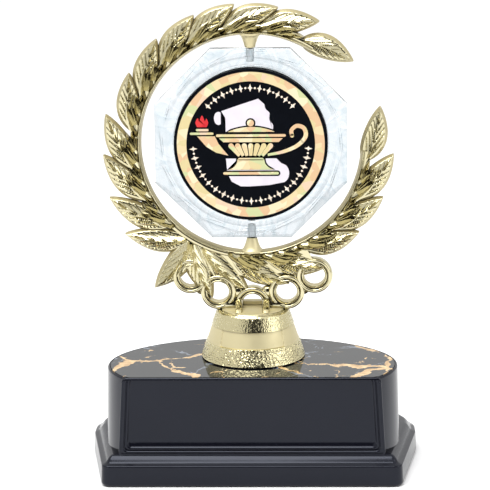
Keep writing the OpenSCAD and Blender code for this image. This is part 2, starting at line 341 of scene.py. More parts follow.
def marble_laminate():
    """Glossy black marble print with ragged gold veins and blue-grey wisps."""
    made = new_material("marble_laminate")
    where = made.place()

    def bent(scale, amount):
        warp = made.node("ShaderNodeTexNoise", Scale=scale, Detail=5.0, Roughness=0.52)
        made.link(where, warp.inputs["Vector"])
        moved = made.node("ShaderNodeVectorMath", operation="MULTIPLY_ADD")
        made.link(warp.outputs["Color"], moved.inputs[0])
        moved.inputs[1].default_value = (amount, amount, amount)
        made.link(where, moved.inputs[2])
        return moved.outputs[0]

    def veins(coords, scale, width_scale, low, high):
        crack = made.node("ShaderNodeTexVoronoi", feature="DISTANCE_TO_EDGE", Scale=scale)
        made.link(coords, crack.inputs["Vector"])
        width = made.span(made.noise(where, width_scale, 5.0, 0.7), low, high, 0.085)
        gap = made.maths("SUBTRACT", width, crack.outputs["Distance"])
        return made.grey_ramp(gap, [(0.0, 0.0), (0.007, 1.0)])

    gold = made.mix(1.0, veins(bent(60.0, 0.020), 25.0, 48.0, 0.40, 0.78),
                    veins(bent(110.0, 0.010), 52.0, 60.0, 0.50, 0.95), "LIGHTEN")
    wisp = veins(bent(45.0, 0.030), 40.0, 55.0, 0.44, 0.90)
    smoke = made.grey_ramp(made.noise(where, 140.0, 6.0, 0.7), [(0.36, 0.0), (0.58, 0.9)])
    mist = made.mix(1.0, wisp, smoke, "MULTIPLY")
    ground = made.mix(mist, (0.006, 0.007, 0.007), (0.21, 0.24, 0.30))
    streak = made.ramp(made.noise(where, 420.0, 4.0),
                       [(0.35, (0.44, 0.27, 0.11)), (0.65, (0.72, 0.50, 0.25))])
    made.colour(made.mix(gold, ground, streak))
    made.roughness(made.noise(where, 160.0), [(0.3, 0.03), (0.8, 0.07)])
    made.set(IOR=1.5)
    return made.material


def clear_acrylic():
    """Clear moulded plastic with a cool tint and swirled flow lines."""
    made = new_material("clear_acrylic")
    where = made.place()
    made.set(IOR=1.36, Transmission_Weight=1.0, Roughness=0.015)
    swirl = made.noise(where, 48.0, 1.6, 0.45, 2.2)
    lines = made.ramp(swirl, [(0.30, (0.69, 0.745, 0.78)), (0.42, (0.76, 0.80, 0.83)),
                              (0.455, (0.56, 0.65, 0.70)), (0.49, (0.75, 0.79, 0.82)),
                              (0.60, (0.67, 0.735, 0.77)), (0.635, (0.90, 0.93, 0.95)),
                              (0.70, (0.72, 0.765, 0.80))])
    made.colour(lines)
    made.bump(swirl, 0.14, 0.0008)
    return made.material


def frosted_acrylic():
    """Cloudy pale plastic of the pin sockets."""
    made = new_material("frosted_acrylic")
    where = made.place()
    made.set(IOR=1.3)
    made.mottle(made.noise(where, 300.0), (0.88, 0.92, 0.94), (0.95, 0.97, 0.98))
    made.roughness(made.noise(where, 500.0), [(0.3, 0.25), (0.7, 0.38)])
    return made.material


def foil_material():
    """Holographic foil print broken into facets of gold, peach and pale green."""
    made = new_material("holographic_foil")
    where = made.place()
    cells = made.node("ShaderNodeTexVoronoi", Scale=330.0)
    made.link(where, cells.inputs["Vector"])
    split = made.node("ShaderNodeSeparateColor")
    made.link(cells.outputs["Color"], split.inputs[0])
    tint = made.ramp(split.outputs[0], [(0.0, (0.64, 0.43, 0.25)), (0.22, (0.69, 0.55, 0.32)),
                                        (0.42, (0.62, 0.52, 0.27)), (0.60, (0.75, 0.64, 0.42)),
                                        (0.76, (0.52, 0.55, 0.29)), (0.88, (0.68, 0.51, 0.36))],
                     "CONSTANT")
    made.colour(tint)
    made.roughness(split.outputs[1], [(0.0, 0.30), (1.0, 0.50)])
    made.set(Metallic=0.12, Specular_IOR_Level=0.3)
    return made.material


def printed_ink(name, low, high):
    """Screen-printed ink with a faint density change."""
    made = new_material(name)
    where = made.place()
    made.mottle(made.noise(where, 300.0), low, high)
    made.roughness(made.noise(where, 700.0), [(0.3, 0.35), (0.7, 0.45)])
    made.set(Specular_IOR_Level=0.04)
    return made.material


def felt_material():
    """Short-fibred dark green felt."""
    made = new_material("felt")
    where = made.place()
    fibre = made.noise(where, 1500.0, 4.0, distortion=2.0)
    made.mottle(fibre, (0.010, 0.025, 0.014), (0.035, 0.065, 0.042))
    made.set(Roughness=0.95, Sheen_Weight=0.3)
    made.bump(fibre, 0.5, 0.0004)
    return made.material


def plaster_material():
    """Cast filler with pits."""
    made = new_material("cast_filler")
    where = made.place()
    made.mottle(made.noise(where, 220.0, 5.0), (0.50, 0.48, 0.44), (0.66, 0.63, 0.58))
    made.set(Roughness=0.9)
    made.bump(made.noise(where, 500.0, 4.0), 0.4, 0.0004)
    return made.material


def zinc_material():
    """Zinc-plated steel with a brushed, slightly mottled finish."""
    made = new_material("zinc_steel")
    where = made.place()
    made.mottle(made.noise(where, 400.0, 4.0), (0.46, 0.47, 0.50), (0.62, 0.62, 0.62))
    made.roughness(made.noise(where, 900.0), [(0.3, 0.28), (0.7, 0.42)])
    made.set(Metallic=1.0)
    return made.material


GOLD = gold_material("gold_relief", (0.52, 0.475, 0.295), (0.61, 0.56, 0.37), 0.06, 0.11)
GOLD_STIPPLE = gold_material("gold_stipple", (0.57, 0.51, 0.30), (0.65, 0.59, 0.36), 0.13, 0.20)
GOLD_MATTE = gold_material("gold_matte", (0.56, 0.495, 0.29), (0.62, 0.55, 0.33), 0.40, 0.50,
                           metallic=0.55, grain=0.05)
GOLD_WALL = gold_material("gold_wall", (0.40, 0.345, 0.19), (0.46, 0.40, 0.225), 0.34, 0.44,
                          metallic=0.7, grain=0.05)
FROSTED = frosted_acrylic()
BLACK = black_plastic()
MARBLE = marble_laminate()
ACRYLIC = clear_acrylic()
FOIL = foil_material()
INK_BLACK = printed_ink("ink_black", (0.0012, 0.0018, 0.0035), (0.0018, 0.0026, 0.0048))
INK_CREAM = printed_ink("ink_cream", (0.80, 0.68, 0.55), (0.86, 0.75, 0.63))
INK_PALE = printed_ink("ink_pale", (0.64, 0.60, 0.65), (0.69, 0.65, 0.70))
INK_RED = printed_ink("ink_red", (0.52, 0.02, 0.03), (0.64, 0.05, 0.05))


# ---- base

RIGHT_PLAN = [(BASE_HIGH[0] - 5.6, BASE_LOW[1]), (BASE_HIGH[0], 8.5), (BASE_HIGH[0] - 0.2, 16),
              (BASE_HIGH[0] - 3.5, 22.5), (BASE_HIGH[0] - 11, BASE_HIGH[1])]
CORNER_RADII = [3, 10, 10, 9, 9]
# Top of the plinth, half-axes and centre of the oval body, and the flat panel in front
LEDGE_Z = 10.3
OVAL_A = 48.2
OVAL_B = 32.5
OVAL_Y = -8
PANEL_HALF = 42.5
PANEL_Y = -24.5
PANEL_CORNER = 1.5
PANEL_SPREAD = 1.5
PANEL_LEAN = 0.7
PANEL_EDGE_R = 0.5
OVAL_SPREAD = 0.6
RIM_ROUND = 0.75
RIM_START = BASE_TOP - RIM_ROUND


def below_top(z):
    """How far a height lies below the top, as a share of the body's height."""
    return (BASE_TOP - z) / (BASE_TOP - LEDGE_Z)


def plinth_shape():
    """Plinth with a rolled lower edge, a shallow slope above its face and a convex band."""
    plan = RIGHT_PLAN + [(-x, y) for x, y in RIGHT_PLAN[::-1]]
    edge = [(1.5 - 1.5 * math.sin(a), 1.5 - 1.5 * math.cos(a)) for a in np.linspace(0, math.pi / 2, 7)]
    edge += [(0.24, 6.9), (0.28, 7.12), (0.40, 7.30), (0.60, 7.40), (1.40, 7.72), (1.80, 7.98)]
    edge += [(2.00, 8.22), (2.25, 8.62), (2.60, 9.12), (3.00, 9.58), (3.35, 9.90), (3.70, 10.12)]
    edge += [(4.0, 10.24), (4.3, LEDGE_Z), (6.5, LEDGE_Z)]
    outlines = []
    for d, z in edge:
        radii = [max(r - 0.6 * d, 0.5) for r in CORNER_RADII]
        outlines.append(at_height(rounded(inset(plan, d), radii + radii[::-1], 8), z))
    return loft(outlines)


def panel_half(z):
    """Half-width of the front panel slab at a height; its top corners are rounded."""
    half = PANEL_HALF + PANEL_SPREAD * below_top(z)
    over = z - (BASE_TOP - PANEL_CORNER)
    if over > 0:
        half -= PANEL_CORNER - math.sqrt(max(PANEL_CORNER ** 2 - over ** 2, 0))
    return half


def panel_front(z):
    return PANEL_Y - PANEL_LEAN * below_top(z)


def body_line(z, pull, steps=150):
    """Open outline of the body at a height, from the panel's right edge round the back."""
    spread = OVAL_SPREAD * below_top(z)
    a = OVAL_A + spread - pull
    b = OVAL_B + spread - pull
    front = panel_front(z) + pull
    half = panel_half(z) - pull
    cut = a * math.sqrt(max(1 - ((front - OVAL_Y) / b) ** 2, 0))
    half = max(half, cut)
    join = OVAL_Y - b * math.sqrt(max(1 - (half / a) ** 2, 0))
    radius = PANEL_EDGE_R
    points = []
    for k in range(6):
        t = math.pi / 2 * k / 5
        points.append([half - radius + radius * math.sin(t), front + radius - radius * math.cos(t), z])
    points.append([half, max(join, front + radius + 0.01), z])
    start = math.atan2((join - OVAL_Y) / b, half / a)
    for k in range(1, steps):
        t = start + (math.pi - 2 * start) * k / steps
        points.append([a * math.cos(t), OVAL_Y + b * math.sin(t), z])
    points += [[-x, y, w] for x, y, w in points[6::-1]]
    return points


# Section of the panel's border: distance in from the edge and depth
BORDER = [(0, 0), (0.35, 0), (0.42, -0.1), (0.55, -0.21), (0.75, -0.25), (0.95, -0.21), (1.1, -0.08),
          (1.2, 0.08), (1.38, 0.14), (1.5, 0.02), (1.62, -0.1), (1.85, -0.16), (2.08, -0.08),
          (2.25, 0.1), (2.5, 0.34), (2.7, 0.52), (2.9, 0.6)]


def border_curve(d, depth, rows):
    """U-shaped line on the panel, d in from its edge: down the left, along the foot, up the right."""
    foot = LEDGE_Z - 0.2 + (1.15 * d if d < 2.6 else 3.7 + (d - 2.9))
    radius = 0.35 if d < 0.5 else 1.4
    corner = foot + radius
    line = []
    for k in range(rows):
        z = RIM_START + (corner - RIM_START) * k / (rows - 1)
        line.append((panel_half(z) - PANEL_EDGE_R - d, z))
    x0 = line[-1][0]
    for k in range(1, 8):
        t = math.pi / 2 * k / 8
        line.append((x0 - radius + radius * math.cos(t), corner - radius * math.sin(t)))
    for k in range(11):
        line.append(((x0 - radius) * (1 - k / 10), foot))
    left = [[-x, panel_front(z) + depth, z] for x, z in line]
    right = [[x, panel_front(z) + depth, z] for x, z in line[-2::-1]]
    return left + right


def panel_face():
    """Front face: two fine beads round a shallow recess, open at the top."""
    curves = [border_curve(d, depth, 24) for d, depth in BORDER]
    count = len(curves[0])
    faces = loft_faces(len(curves), count, closed=False, caps=False)
    faces.append([(len(curves) - 1) * count + i for i in range(count)])
    return np.concatenate(curves), faces


def base_body():
    """Whole black moulding as one piece."""
    shape = Shape()
    shape.add(*plinth_shape())
    levels = [(z, 0.0) for z in np.linspace(LEDGE_Z - 0.2, BASE_TOP - PANEL_CORNER, 10)]
    levels += [(z, 0.0) for z in np.linspace(BASE_TOP - PANEL_CORNER, RIM_START, 5)[1:]]
    levels += [(RIM_START + RIM_ROUND * math.sin(t), 0.5 - 0.5 * math.cos(t))
               for t in np.linspace(0.25, math.pi / 2, 6)]
    levels += [(BASE_TOP - 0.1, 0.72), (BASE_TOP - 0.9, 0.8)]
    lines = [body_line(z, pull) for z, pull in levels]
    count = len(lines[0])
    shape.add(np.concatenate(lines), loft_faces(len(lines), count, closed=False, caps=False))
    start = sum(1 for z, pull in levels if pull == 0) - 1
    strip = [[line[0], line[-1]] for line in lines[start:]]
    shape.add(np.concatenate(strip), loft_faces(len(strip), 2, closed=False, caps=False))
    shape.add(*panel_face())
    half = panel_half(RIM_START) - PANEL_EDGE_R
    front = panel_front(RIM_START)
    inner, recessed = half - BORDER[-1][0], front + BORDER[-1][1]
    lip = [(-half, front), (half, front), (inner, recessed), (-inner, recessed)]
    shape.add(at_height(lip, RIM_START), [[0, 1, 2, 3]])
    make_piece("base_body", shape.verts, shape.faces, TROPHY, BLACK, 34,
               ["base_shell"])


# ---- riser

BAND_LOW = 6.1
BAND_HIGH = 11.4
STIPPLE_LOW = 0.06
STIPPLE_HIGH = 0.036
CUP_R = RISER_RIM_R - 1.1


def around_axis(r, angles, height):
    """Ring of points at one height, with one radius or a radius for each angle."""
    return np.stack([r * np.cos(angles), r * np.sin(angles), np.full(len(angles), height)], 1)


def riser_piece():
    """Hollow cone: two stippled bands, a smooth band between them with a shallow front panel."""
    foot_r = RISER_HIGH[0]
    height = RISER_HIGH[2] - RISER_LOW[2]
    rng = np.random.default_rng(5)
    around = 560
    heights = np.linspace(0.7, height - 0.6, 96)
    angles = np.linspace(0, 2 * math.pi, around, endpoint=False)
    grain = rng.normal(size=(len(heights), around))
    grain = (grain + 0.6 * np.roll(grain, 1, 0) + 0.6 * np.roll(grain, 1, 1)) / 1.3
    outer = []
    for pull, h in ((1.4, 0.0), (0.8, 0.02), (0.35, 0.2), (0.1, 0.45)):
        outer.append(around_axis(foot_r - pull, angles, h))
    for row, h in enumerate(heights):
        t = h / height
        r = foot_r + (RISER_RIM_R - foot_r) * (0.92 * t + 0.08 * t * t)
        lower = h < BAND_LOW
        upper = h > BAND_HIGH
        rough = STIPPLE_LOW if lower else (STIPPLE_HIGH if upper else 0.0)
        rough *= min(1, min(abs(h - BAND_LOW), abs(h - BAND_HIGH), h, height - h) / 0.35)
        dr = rough * grain[row]
        if not (lower or upper):
            half = 10.0 + 0.8 * (BAND_HIGH - h) / (BAND_HIGH - BAND_LOW)
            inside = (np.abs(r * np.cos(angles)) < half) & (np.sin(angles) < 0)
            dr = np.where(inside, -0.46, -0.16)
        outer.append(around_axis(r + dr, angles, h))
    for r, drop in ((RISER_RIM_R - 0.06, 0.35), (RISER_RIM_R - 0.25, 0.1), (RISER_RIM_R - 0.6, 0),
                    (RISER_RIM_R - 1.0, 0.15), (CUP_R, 0.5), (CUP_R, 3.4), (0.2, 3.4)):
        outer.append(around_axis(r, angles, height - drop))
    piece = make_piece("riser_cone", np.concatenate(outer), loft_faces(len(outer), around), TROPHY,
                       GOLD_STIPPLE, 40, ["riser"], (0, FIGURE_Y, RISER_LOW[2]))
    second_material(piece, GOLD_MATTE, lambda face: len(face.vertices) == 4
                    and BAND_LOW < face.center.z / MM - RISER_LOW[2] < BAND_HIGH)


# ---- rings and stem

RING_CENTRES = [(-20.7, 64), (-11.4, 58.5), (0, 54.3), (11.4, 58.5), (20.7, 64)]
RING_SET_BACK = 0.6
RING_HOLE_R = 3.4
RING_OUT_R = 6.2
STEP_HALF_W = RING_HOLE_R + 0.05


def ring_profile():
    """Half-section of a ring: hole wall, inner bead, groove, broad outer roll and drafted rim."""
    face = [(0, 0), (0.1, 1.7), (0.22, 2.2), (0.42, 2.42), (0.66, 2.36), (0.84, 2.1), (0.92, 1.6),
            (1.06, 1.6), (1.16, 2.1), (1.4, 2.42), (1.8, 2.5), (2.15, 2.42), (2.4, 2.15), (2.52, 1.8)]
    face = [(RING_HOLE_R + r, t) for r, t in face] + [(RING_OUT_R, 0)]
    return [(r, -t) for r, t in face] + [(r, t) for r, t in face[-2:0:-1]]


def box_shape(low, high):
    """Box between two corners."""
    x0, y0, z0 = low
    x1, y1, z1 = high
    verts = [[x0, y0, z0], [x1, y0, z0], [x1, y1, z0], [x0, y1, z0],
             [x0, y0, z1], [x1, y0, z1], [x1, y1, z1], [x0, y1, z1]]
    return verts, [[0, 3, 2, 1], [4, 5, 6, 7], [0, 1, 5, 4], [1, 2, 6, 5], [2, 3, 7, 6], [3, 0, 4, 7]]


def leg_toe(x0, x1, z):
    """Toe of one leg of the arch, sloping forward to the rim."""
    side = [(2.0, -1), (2.0, 3.6), (-2.4, 3.6), (-4.6, 2.6), (-7.2, 1.2), (-8.6, 0.4), (-8.8, -1)]
    rings = [[(x, y, z + h) for y, h in side] for x in (x0, x0 + 0.3, x1 - 0.3, x1)]
    for ring in (rings[0], rings[3]):
        ring[:] = [(x, y * 0.94, z + (h - z) * 0.9) for x, y, h in ring]
    return np.array(rings).reshape(-1, 3), loft_faces(4, len(side))


def ring_row():
    """Five rings, the knobs and web that join them, and the foot in the riser's cup."""
    shape = Shape()
    for x, z in RING_CENTRES:
        verts, faces = revolve(ring_profile(), 96, "y")
        shape.add(np.asarray(verts) + [x, RING_SET_BACK, z], faces)
    knob = [(0, -1.9), (1.4, -1.7), (2.2, -1.2), (2.4, 0), (2.2, 1.2), (1.4, 1.7), (0, 1.9)]
    for (x1, z1), (x2, z2) in zip(RING_CENTRES, RING_CENTRES[1:]):
        middle = np.array([(x1 + x2) / 2, RING_SET_BACK, (z1 + z2) / 2])
        lean = np.array([z1 - z2, 0, x2 - x1]) / math.hypot(x2 - x1, z2 - z1)
        for lift in (-1.8, 1.8):
            verts, faces = revolve(knob, 24, "y")
            shape.add(np.asarray(verts) + middle + lean * lift, faces)
    rim_z = RISER_HIGH[2]
    dome = [(0, rim_z - 3), (CUP_R, rim_z - 3), (CUP_R, rim_z - 0.3), (CUP_R - 0.4, rim_z + 0.1),
            (CUP_R - 1.6, rim_z + 0.35), (0, rim_z + 0.6)]
    shape.add(*revolve(dome, 64))
    centre_z = RING_CENTRES[2][1]
    for side in (-1, 1):
        x0, x1 = sorted((side * (RING_HOLE_R - 0.02), side * (RING_OUT_R - 0.5)))
        shape.add(*box_shape((x0, -2.3, rim_z - 1), (x1, 2.3, centre_z)))
        shape.add(*leg_toe(x0, x1, rim_z))
        foot = [(0, -2.0), (1.5, -1.9), (3.2, -1.4), (3.5, 0), (3.2, 1.4), (1.5, 1.9), (0, 2.0)]
        verts, faces = revolve(foot, 32, "y")
        shape.add(np.asarray(verts) * [1.0, 1.0, 0.72] + [side * 7.6, 0, rim_z + 0.9], faces)
    verts, faces = revolve([(38.4, -1.3), (45.0, -1.3), (45.0, 1.3), (38.4, 1.3)], 40, "y", (243, 297))
    shape.add(np.asarray(verts) + [0, 0, WREATH_Z], faces)
    boss_foot = BASE_TOP + 3
    shape.add(*revolve([(5.6, boss_foot), (7, boss_foot), (7, rim_z - 2.5), (5.6, rim_z - 2.5)], 48))
    piece = make_piece("rings", shape.verts, shape.faces, TROPHY, GOLD, 50,
                       ["ring_row"], (0, FIGURE_Y, 0))

    def hole_wall_or_foot(face):
        x, z = face.center.x / MM, face.center.z / MM
        near = min(math.hypot(x - cx, z - cz) for cx, cz in RING_CENTRES)
        foot = abs(z - rim_z) < 0.9 and face.normal.z > 0.8
        return foot or (near < RING_HOLE_R + 0.12 and abs(face.normal.y) < 0.3)

    second_material(piece, GOLD_MATTE, hole_wall_or_foot)
    steps = Shape()
    for front, back, rise in ((-1.7, 0.6, 0.7), (0.8, 3.0, 2.0)):
        steps.add(*box_shape((-STEP_HALF_W, front, rim_z - 1), (STEP_HALF_W, back, rim_z + rise)))
    make_piece("arch_steps", steps.verts, steps.faces, TROPHY, GOLD_MATTE, 40, [],
               (0, FIGURE_Y, 0))


STEM_FROM = -4
STEM_TO = -303


def wreath_stem():
    """Inner band with a smooth drafted edge, a deep groove and a rounded twig."""
    face = [(36.2, 0), (36.9, 2.3), (37.0, 2.45), (37.15, 2.5), (37.3, 2.4), (37.4, 1.9), (37.55, 1.9),
            (37.7, 2.1), (38.3, 2.15), (38.9, 1.8), (39.1, 0)]
    profile = [(r, -t) for r, t in face] + [(r, t) for r, t in face[-2:0:-1]]
    verts, faces = revolve(profile, 260, "y", (STEM_FROM, STEM_TO))
    piece = make_piece("stem", verts, faces, TROPHY, GOLD, 50, ["wreath_stem"], WREATH)
    second_material(piece, GOLD_WALL, lambda face: abs(face.normal.y) < 0.5)


# ---- leaves

# Angle at which both branches start, and the angle that a leaf covers
BRANCH_ORIGIN = 238
LEAF_SWEEP = 26
LEAF_FOOT_R = 37.9
# Sizes, relief and mesh of the outer leaves and of the leaflets, as leaf_mesh takes them
LEAF = dict(crest=2.35, rim=1.5, border=1.0, rows=100, cols=16, veins=6, vein_h=0.46)
LEAFLET = dict(crest=3.4, rim=2.0, border=0.25, rows=44, cols=9, veins=3, vein_h=0.05)
# Angle covered, rise outwards and width of the three leaflets beside a leaf
LEAFLETS = [(17, 5.6, 3.6), (15, 3.7, 3.2), (13, 1.9, 2.8)]
LEAFLET_FOOT_R = 37.5
LEAFLET_STEP = 6
BARB_SLOPE = 3.0
# Angle and radius of each leaf's tip about the wreath's centre
LEFT_TIPS = [(236.4, 59.2), (215.6, 52.3), (200.7, 50.7), (184, 49.2), (168, 49), (149, 46.5),
             (131, 46.6), (113, 46.6), (96, 46.6), (78, 46.2), (60.3, 46.6), (38.5, 43.5)]
RIGHT_TIPS = [(255.9, 54.5), (268.7, 50.1), (284.6, 49.6), (301.3, 49.2), (320.1, 46.9),
              (337.5, 47.4), (355.6, 47.3), (376.2, 44.4)]


def leaf_mesh(length, width, bulge, crest, rim, border, rows, cols, veins, vein_h):
    """Closed leaf along +X, outer side +Z, the same relief on both faces.

    The smooth border slopes from the parting line up to the relief; inside it each half rises
    to the midrib and is stepped by slanted overlapping barbs.
    """
    s = np.linspace(0.012, 0.985, rows)
    half = width / 2 * 2.869 * s ** 0.65 * (1 - s) ** 0.9
    inner = np.clip(half - border, 0.02, None)
    q = np.linspace(0, 1, cols)
    side = np.concatenate([inner[:, None] * q[None, :],
                           (inner + (half - inner) * 0.15)[:, None], half[:, None]], 1)
    fade = np.clip(inner / 1.0, 0, 1)[:, None]
    ends = np.clip(np.minimum(s / 0.08, (1 - s) / 0.05), 0, 1)[:, None]
    along = s[:, None] * length
    phase = (along - inner[:, None] * q[None, :] * BARB_SLOPE) / (length / veins)
    step = phase - np.floor(phase)
    barb = np.where(step < 0.88, (step / 0.88) ** 1.3, (1 - step) / 0.12)
    span = np.clip(np.minimum(q / 0.14, (1 - q) / 0.10), 0, 1)
    relief = rim + (crest - rim) * (1 - q)[None, :] * fade
    relief = relief - 0.25 * np.sin(math.pi * q)[None, :] * fade
    relief = relief + vein_h * (barb - 0.5) * span[None, :] * (inner / inner.max())[:, None]
    relief = relief + 0.2 * np.exp(-(q / 0.09) ** 2)[None, :] * fade
    relief = relief * (0.55 + 0.45 * ends)
    border_cols = np.concatenate([relief[:, -1:] * 0.92, np.zeros((rows, 1))], 1)
    height = np.concatenate([relief, border_cols], 1)
    centre = bulge * np.sin(math.pi * s ** 0.9)
    across = np.concatenate([-side[:, ::-1], side[:, 1:]], 1) + centre[:, None]
    depth = np.concatenate([height[:, ::-1], height[:, 1:]], 1)
    n = across.shape[1]
    x = np.repeat(along, n, 1)
    front = np.stack([x, -depth, across], 2).reshape(-1, 3)
    back = np.stack([x, depth, across], 2).reshape(-1, 3)
    faces = []
    for offset, flip in ((0, False), (rows * n, True)):
        for i in range(rows - 1):
            for j in range(n - 1):
                quad = [offset + i * n + j, offset + (i + 1) * n + j,
                        offset + (i + 1) * n + j + 1, offset + i * n + j + 1]
                faces.append(quad[::-1] if flip else quad)
    for i in (0, rows - 1):
        front_edge = [i * n + j for j in range(n)]
        back_edge = [rows * n + i * n + j for j in range(n)]
        for j in range(n - 1):
            faces.append([front_edge[j], front_edge[j + 1], back_edge[j + 1], back_edge[j]])
    return np.concatenate([front, back]), faces


def polar(angle, radius):
    return radius * np.array([math.cos(math.radians(angle)), math.sin(math.radians(angle))])


def lay_leaf(shape, start, tip, width, lift, bulge, form):
    """Adds a leaf between two (angle, radius) points of the wreath's plane."""
    a, b = polar(*start), polar(*tip)
    run = b - a
    length = float(np.linalg.norm(run))
    run /= length
    out = np.array([-run[1], run[0]])
    if out @ (a + b) < 0:
        out = -out
    verts, faces = leaf_mesh(length, width, bulge * length, **form)
    place = a + verts[:, :1] * run + verts[:, 2:] * out
    grow = 1 + lift * (verts[:, 0] / length - 0.5)
    shape.add(np.stack([place[:, 0], verts[:, 1] * grow, place[:, 1]], 1), faces)


def branch(name, tips, turn, node):
    """One branch: outer leaves, with three slender leaflets between most of them and the stem."""
    shape = Shape()
    for i, (angle, radius) in enumerate(tips):
        start = angle - turn * LEAF_SWEEP
        start = max(start, BRANCH_ORIGIN) if turn > 0 else min(start, BRANCH_ORIGIN)
        last = i == len(tips) - 1
        width = 8.2 if last else 8.6
        lay_leaf(shape, (start, LEAF_FOOT_R), (angle, radius), width, 0.16, 0.06, LEAF)
        if i < 2 or last:
            continue
        for k, (reach, rise, wide) in enumerate(LEAFLETS):
            foot = start + turn * (LEAFLET_STEP * k - 2)
            tip = (foot + turn * reach, LEAFLET_FOOT_R + 0.2 + rise)
            lay_leaf(shape, (foot, LEAFLET_FOOT_R), tip, wide, 0.06, 0.03, LEAFLET)
    piece = make_piece(name, shape.verts, shape.faces, TROPHY, GOLD, 34, [node],
                       WREATH)
    second_material(piece, GOLD_WALL, lambda face: abs(face.center.y / MM - FIGURE_Y) < 1.4
                    and abs(face.normal.y) < 0.72)


# ---- pivots

def pivot(name, node, sign):
    """Flared cone on the stem with a domed pin."""
    foot = SPINNER_HALF + 0.33
    stem = 36.9
    profile = [(0, -stem), (3.6, -stem)]
    for t in np.linspace(0, 1, 9):
        z = -36.3 + (36.3 - foot) * t
        profile.append((1.72 + 1.35 * (1 - t) ** 1.2 + 0.5 * math.exp(-t * 9), z))
    pin = [(1.55, 0.05), (0.8, 0.06), (0.8, 3.8), (0.5, 4.1), (0, 4.12)]
    profile += [(r, h - foot) for r, h in pin]
    verts, faces = revolve(profile, 40)
    verts = np.asarray(verts)
    verts[:, 2] *= sign
    make_piece(name, verts, faces, TROPHY, GOLD_MATTE, 40, [node], WREATH)


# ---- spinner

GIRDLE_HALF_T = 1.3


def star(corner_in, middle_in):
    """Octagon's corners and edge middles, each drawn in by its own amount."""
    radii = (SPINNER_HALF - middle_in, SPINNER_HALF / math.cos(math.pi / 8) - corner_in)
    return [(radii[k % 2] * math.cos(math.pi * k / 8), radii[k % 2] * math.sin(math.pi * k / 8))
            for k in range(16)]


def spinner_ring(points, y):
    """Points of (x, z) placed at one depth."""
    return [[x, y, z] for x, z in points]


def spinner_half(side):
    """Faces of one side from the girdle in: diamond facets, ring facets and the insert's seat."""
    def circle(r, count, turn=0.0):
        angles = [2 * math.pi * (k + turn) / count for k in range(count)]
        return [(r * math.cos(a), r * math.sin(a)) for a in angles]

    table = circle(30.6, 16, 0.5)
    verts = spinner_ring(star(0, 0), GIRDLE_HALF_T) + spinner_ring(star(0.5, 0.4), 1.75)
    verts += spinner_ring(table, 2.35)
    faces = []
    for k in range(16):
        n = (k + 1) % 16
        faces.append([k, n, 16 + n, 16 + k])
        faces.append([16 + k, 16 + n, 32 + k])
        faces.append([32 + k, 16 + n, 32 + n])
    rings = [(29.4, 2.75), (28.3, 2.6), (27.2, 2.95), (26.2, 3.0), (25.75, 2.95),
             (25.6, INSERT_FACE - 0.8)]
    for r, y in rings:
        verts += spinner_ring(circle(r, 64), y)
    first = 48
    for k in range(16):
        for m in range(4):
            i = (4 * k + m + 2) % 64
            faces.append([32 + k, first + (i + 1) % 64, first + i])
        faces.append([32 + k, 32 + (k + 1) % 16, first + (4 * k + 6) % 64])
    for level in range(len(rings) - 1):
        start = first + 64 * level
        for i in range(64):
            j = (i + 1) % 64
            faces.append([start + i, start + j, start + 64 + j, start + 64 + i])
    last = first + 64 * (len(rings) - 1)
    faces.append([last + i for i in range(64)])
    verts = np.asarray(verts, float)
    verts[:, 1] *= side
    return verts, faces


def socket_tube(sign):
    """Tube round the pin's socket, seen inside the octagon."""
    top = SPINNER_HALF - 0.15
    profile = [(0.9, top), (1.3, top), (1.38, top - 3.8), (1.2, top - 4.35), (0, top - 4.4),
               (0, top - 4.2), (0.9, top - 4.2)]
    verts, faces = revolve(profile, 32)
    verts[:, 2] *= sign
    return verts, faces


def socket_tubes():
    """Clouded tubes of the pin sockets at the top and bottom of the octagon."""
    shape = Shape()
    for sign in (-1, 1):
        shape.add(*socket_tube(sign))
    make_piece("sockets", shape.verts, shape.faces, SPINNER, FROSTED, 40, [], WREATH)


def spinner_piece():
    """Clear octagon with cut facets on both sides."""
    shape = Shape()
    for side in (-1, 1):
        shape.add(*spinner_half(side))
    edge = spinner_ring(star(0, 0), -GIRDLE_HALF_T) + spinner_ring(star(0, 0), GIRDLE_HALF_T)
    shape.add(edge, [[k, (k + 1) % 16, 16 + (k + 1) % 16, 16 + k] for k in range(16)])
    make_piece("spinner_octagon", shape.verts, shape.faces, SPINNER, ACRYLIC, 7,
               ["spinner_body"], WREATH)


# ---- disc inserts

FOIL_IN = 21.2
FOIL_OUT = 24.35
OUTLINE_W = 0.5
BORDER_R = 19.0


def arc(centre, radius, first, last, steps=12):
    """Points of (x, z) along an arc, angles in degrees."""
    rx, rz = radius if isinstance(radius, tuple) else (radius, radius)
    turn = [math.radians(first + (last - first) * k / steps) for k in range(steps + 1)]
    return [(centre[0] + rx * math.cos(t), centre[1] + rz * math.sin(t)) for t in turn]


def bar(x0, x1, z, thick=0.8):
    """Straight bar with round ends."""
    r = thick / 2
    return arc((x1 - r, z), r, -90, 90, 6) + arc((x0 + r, z), r, 90, 270, 6)


def ribbon(points, widths):
    """Four-sided links of a tapering band along a line of points, with a round end."""
    points = [np.array(p, float) for p in points]
    left, right = [], []
    for i, p in enumerate(points):
        run = points[min(i + 1, len(points) - 1)] - points[max(i - 1, 0)]
        side = np.array([-run[1], run[0]]) / np.linalg.norm(run)
        w = np.interp(i / (len(points) - 1), np.linspace(0, 1, len(widths)), widths) / 2
        left.append(tuple(p + side * w))
        right.append(tuple(p - side * w))
    links = [[right[i], right[i + 1], left[i + 1], left[i]] for i in range(len(points) - 1)]
    return links + [arc(tuple(points[-1]), widths[-1] / 2, 0, 345, 16)]


